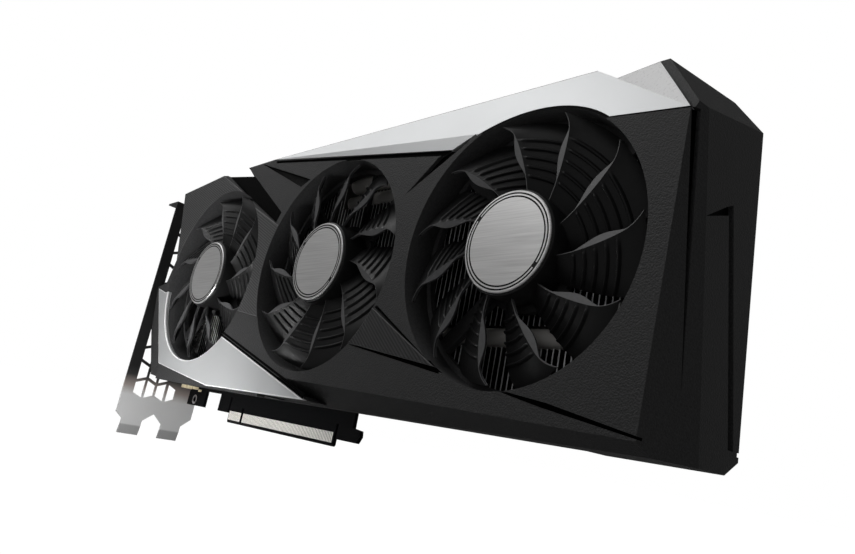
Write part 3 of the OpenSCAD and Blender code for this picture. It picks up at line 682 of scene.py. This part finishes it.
def build_label(side, sizes):
    bm = bmesh.new()
    rim = sizes.label_radius / MM
    outline = [
        (rim, -0.8), (rim, -1.15), (rim - 0.22, -1.38), (13.76, -1.38), (13.74, -1.2),
        (13.32, -1.2), (13.3, -1.38), (12.84, -1.38), (12.82, -1.2), (12.4, -1.2),
        (12.38, -1.38), (0.0, -1.38),
    ]
    for f in lathe(bm, outline, 96):
        middle = f.calc_center_median()
        r = math.hypot(middle.x, middle.z) / MM
        if 13.29 < r < 13.77 or 12.37 < r < 12.85:
            f.material_index = 1
    # the rings step where these short bars cross them
    for centre in (146, -34):
        mark = bmesh.ops.create_cube(bm, size=1.0)["verts"]
        bmesh.ops.scale(bm, verts=mark, vec=(1.3 * MM, 0.2 * MM, 1.6 * MM))
        bmesh.ops.translate(bm, verts=mark, vec=(13.08 * MM, -1.3 * MM, 0))
        bmesh.ops.rotate(bm, verts=mark, cent=(0, 0, 0),
                         matrix=Matrix.Rotation(-math.radians(centre), 3, "Y"))
        for f in {f for v in mark for f in v.link_faces}:
            f.material_index = 1
    bmesh.ops.translate(bm, verts=bm.verts, vec=HUBS[side])
    obj = piece("hub_disc_" + side, bm, ["label_metal", "label_groove"], "fan_" + side, sharp=20)
    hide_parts("label_" + side)


# ---- stage ----


# each light's name, its place from the card's middle, its two sizes in metres and its power
LIGHTS = (
    ("key", (-0.6, -0.64, 0.84), (1.8, 0.7), 5.9),
    ("side", (-1.15, -0.45, 0.2), (0.45, 0.5), 0.08),
    ("top", (-0.35, -0.14, 0.95), (0.7, 0.5), 1.15),
    ("front", (0.2, -1.1, 0.3), (0.8, 0.6), 0.34),
    ("back", (-0.45, 1.1, 0.4), (0.8, 0.8), 2.4),
)
# the lens and the camera's place in millimetres, then its directions ahead and up
CAMERA_LENS = 28.48
CAMERA_PLACE = (201.22, -129.09, -55.43)
CAMERA_AHEAD = (-0.72133, 0.65061, 0.23748)
CAMERA_UP = (0.04368, -0.29947, 0.95311)


def look(obj, target):
    obj.rotation_euler = (target - obj.location).to_track_quat("-Z", "Y").to_euler()


def soft_light(name, place, size, power, target):
    light = bpy.data.lights.new(name, "AREA")
    light.shape = "RECTANGLE"
    light.size, light.size_y = size
    light.energy = power
    obj = bpy.data.objects.new(name, light)
    obj.location = place
    obj.visible_camera = False
    look(obj, target)
    bpy.context.scene.collection.objects.link(obj)


def make_floor():
    low = CAD_BOX[0][2]
    bm = bmesh.new()
    bmesh.ops.create_grid(bm, x_segments=1, y_segments=1, size=6.0)
    bmesh.ops.translate(bm, verts=bm.verts, vec=(0, 0, low - 0.0005))
    mesh = bpy.data.meshes.new("floor")
    bm.to_mesh(mesh)
    bm.free()
    paper = Finish("floor_paper", (0.4, 0.4, 0.4), 0.8, specular=0.1)
    paper.tint(paper.noise(0.4, detail=2.0), (0.39, 0.39, 0.39), (0.41, 0.41, 0.41))
    # the floor shows pale out to the horizon and throws little light back
    glow = paper.node("ShaderNodeEmission", Strength=1.05)
    glow.inputs["Color"].default_value = (1, 1, 1, 1)
    mix = paper.node("ShaderNodeMixShader")
    share = paper.node("ShaderNodeMath")
    share.operation = "MULTIPLY"
    share.inputs[1].default_value = 0.96
    path = paper.node("ShaderNodeLightPath")
    paper.link(path.outputs["Is Camera Ray"], share.inputs[0])
    paper.link(share.outputs[0], mix.inputs["Fac"])
    paper.link(paper.shader.outputs[0], mix.inputs[1])
    paper.link(glow.outputs[0], mix.inputs[2])
    paper.link(mix.outputs[0], paper.tree.nodes["Material Output"].inputs["Surface"])
    mesh.materials.append(paper.material)
    floor = bpy.data.objects.new("floor", mesh)
    bpy.context.scene.collection.objects.link(floor)


def make_background():
    """White to the camera and dim as a light."""
    world = bpy.data.worlds.new("studio")
    bpy.context.scene.world = world
    world.use_nodes = True
    tree = world.node_tree
    seen = tree.nodes.new("ShaderNodeBackground")
    seen.inputs["Color"].default_value = (1, 1, 1, 1)
    seen.inputs["Strength"].default_value = 1.0
    lit = tree.nodes["Background"]
    lit.inputs["Color"].default_value = (1, 1, 1, 1)
    lit.inputs["Strength"].default_value = 0.16
    mix = tree.nodes.new("ShaderNodeMixShader")
    path = tree.nodes.new("ShaderNodeLightPath")
    tree.links.new(path.outputs["Is Camera Ray"], mix.inputs["Fac"])
    tree.links.new(lit.outputs[0], mix.inputs[1])
    tree.links.new(seen.outputs[0], mix.inputs[2])
    tree.links.new(mix.outputs[0], tree.nodes["World Output"].inputs["Surface"])


def make_lights():
    centre = at(0, 10, 0)
    for name, offset, size, power in LIGHTS:
        soft_light(name, centre + Vector(offset), size, power, centre)
    # a small one for the bracket's foot
    soft_light("low", at(-60, -70, -68), (0.07, 0.015), 0.1, at(-144, 12, -64))


def make_camera():
    camera = bpy.data.cameras.new("camera")
    camera.sensor_width = 36.0
    camera.lens = CAMERA_LENS
    camera.clip_start, camera.clip_end = 0.005, 50.0
    obj = bpy.data.objects.new("camera", camera)
    ahead = Vector(CAMERA_AHEAD).normalized()
    right = ahead.cross(Vector(CAMERA_UP)).normalized()
    up = right.cross(ahead).normalized()
    turn = Matrix((right, up, -ahead)).transposed()
    obj.rotation_euler = turn.to_euler()
    obj.location = at(*CAMERA_PLACE)
    bpy.context.scene.collection.objects.link(obj)
    bpy.context.scene.camera = obj
    bpy.context.scene.view_settings.view_transform = "Standard"


def build_stage():
    make_floor()
    make_background()
    make_lights()
    make_camera()


# ---- operators ----


class CARD_OT_stage(bpy.types.Operator):
    """Makes the floor, the lights, the background and the camera"""

    bl_idname = "card.stage"
    bl_label = "Stage"

    def execute(self, context):
        build_stage()
        return {"FINISHED"}


class CARD_OT_finishes(bpy.types.Operator):
    """Gives every CAD solid the finish of its slot"""

    bl_idname = "card.finishes"
    bl_label = "Finishes"

    def execute(self, context):
        for part in frame["record"]["subparts"]:
            recoat(part["node"], part["material_slot"])
        return {"FINISHED"}


class CARD_OT_shroud(bpy.types.Operator):
    """Makes the shroud with its panels"""

    bl_idname = "card.shroud"
    bl_label = "Shroud"

    def execute(self, context):
        build_shroud(context.scene.card_sizes)
        return {"FINISHED"}


class CARD_OT_trims(bpy.types.Operator):
    """Makes the two silver trims"""

    bl_idname = "card.trims"
    bl_label = "Trims"

    def execute(self, context):
        build_trims()
        return {"FINISHED"}


class CARD_OT_cooler(bpy.types.Operator):
    """Makes the fin stacks and the plates that carry the fans"""

    bl_idname = "card.cooler"
    bl_label = "Cooler"

    def execute(self, context):
        build_cooler()
        return {"FINISHED"}


class CARD_OT_board(bpy.types.Operator):
    """Makes the circuit board with its plated rings and gilt parts"""

    bl_idname = "card.board"
    bl_label = "Board"

    def execute(self, context):
        build_board()
        return {"FINISHED"}


class CARD_OT_bracket(bpy.types.Operator):
    """Makes the slot bracket, the backplate and the power socket"""

    bl_idname = "card.bracket"
    bl_label = "Bracket and back"

    def execute(self, context):
        build_bracket()
        return {"FINISHED"}


class CARD_OT_rotors(bpy.types.Operator):
    """Makes the three bladed rotors"""

    bl_idname = "card.rotors"
    bl_label = "Rotors"

    def execute(self, context):
        for side in SIDES:
            build_rotor(side, context.scene.card_sizes)
        return {"FINISHED"}


class CARD_OT_labels(bpy.types.Operator):
    """Makes the brushed discs on the hubs"""

    bl_idname = "card.labels"
    bl_label = "Hub discs"

    def execute(self, context):
        for side in SIDES:
            build_label(side, context.scene.card_sizes)
        return {"FINISHED"}


OPERATORS = (
    CARD_OT_stage, CARD_OT_finishes, CARD_OT_shroud, CARD_OT_trims, CARD_OT_cooler,
    CARD_OT_board, CARD_OT_bracket, CARD_OT_rotors, CARD_OT_labels,
)


class CARD_PT_panel(bpy.types.Panel):
    """The card's pieces, sizes and colours"""

    bl_idname = "CARD_PT_panel"
    bl_label = "Graphics card"
    bl_space_type = "VIEW_3D"
    bl_region_type = "UI"
    bl_category = "Card"

    def draw(self, context):
        for operator in OPERATORS:
            self.layout.operator(operator.bl_idname)
        for group in (context.scene.card_sizes, context.scene.card_colours):
            for name in group.bl_rna.properties.keys():
                if name not in ("rna_type", "name"):
                    self.layout.prop(group, name)


CLASSES = (CardSizes, CardColours, *OPERATORS, CARD_PT_panel)


def register():
    for cls in CLASSES:
        bpy.utils.register_class(cls)
    bpy.types.Scene.card_sizes = bpy.props.PointerProperty(type=CardSizes)
    bpy.types.Scene.card_colours = bpy.props.PointerProperty(type=CardColours)


def unregister():
    del bpy.types.Scene.card_colours
    del bpy.types.Scene.card_sizes
    for cls in reversed(CLASSES):
        bpy.utils.unregister_class(cls)


def main():
    register()
    for operator in OPERATORS:
        group, name = operator.bl_idname.split(".")
        getattr(getattr(bpy.ops, group), name)()


if __name__ == "__main__":
    main()
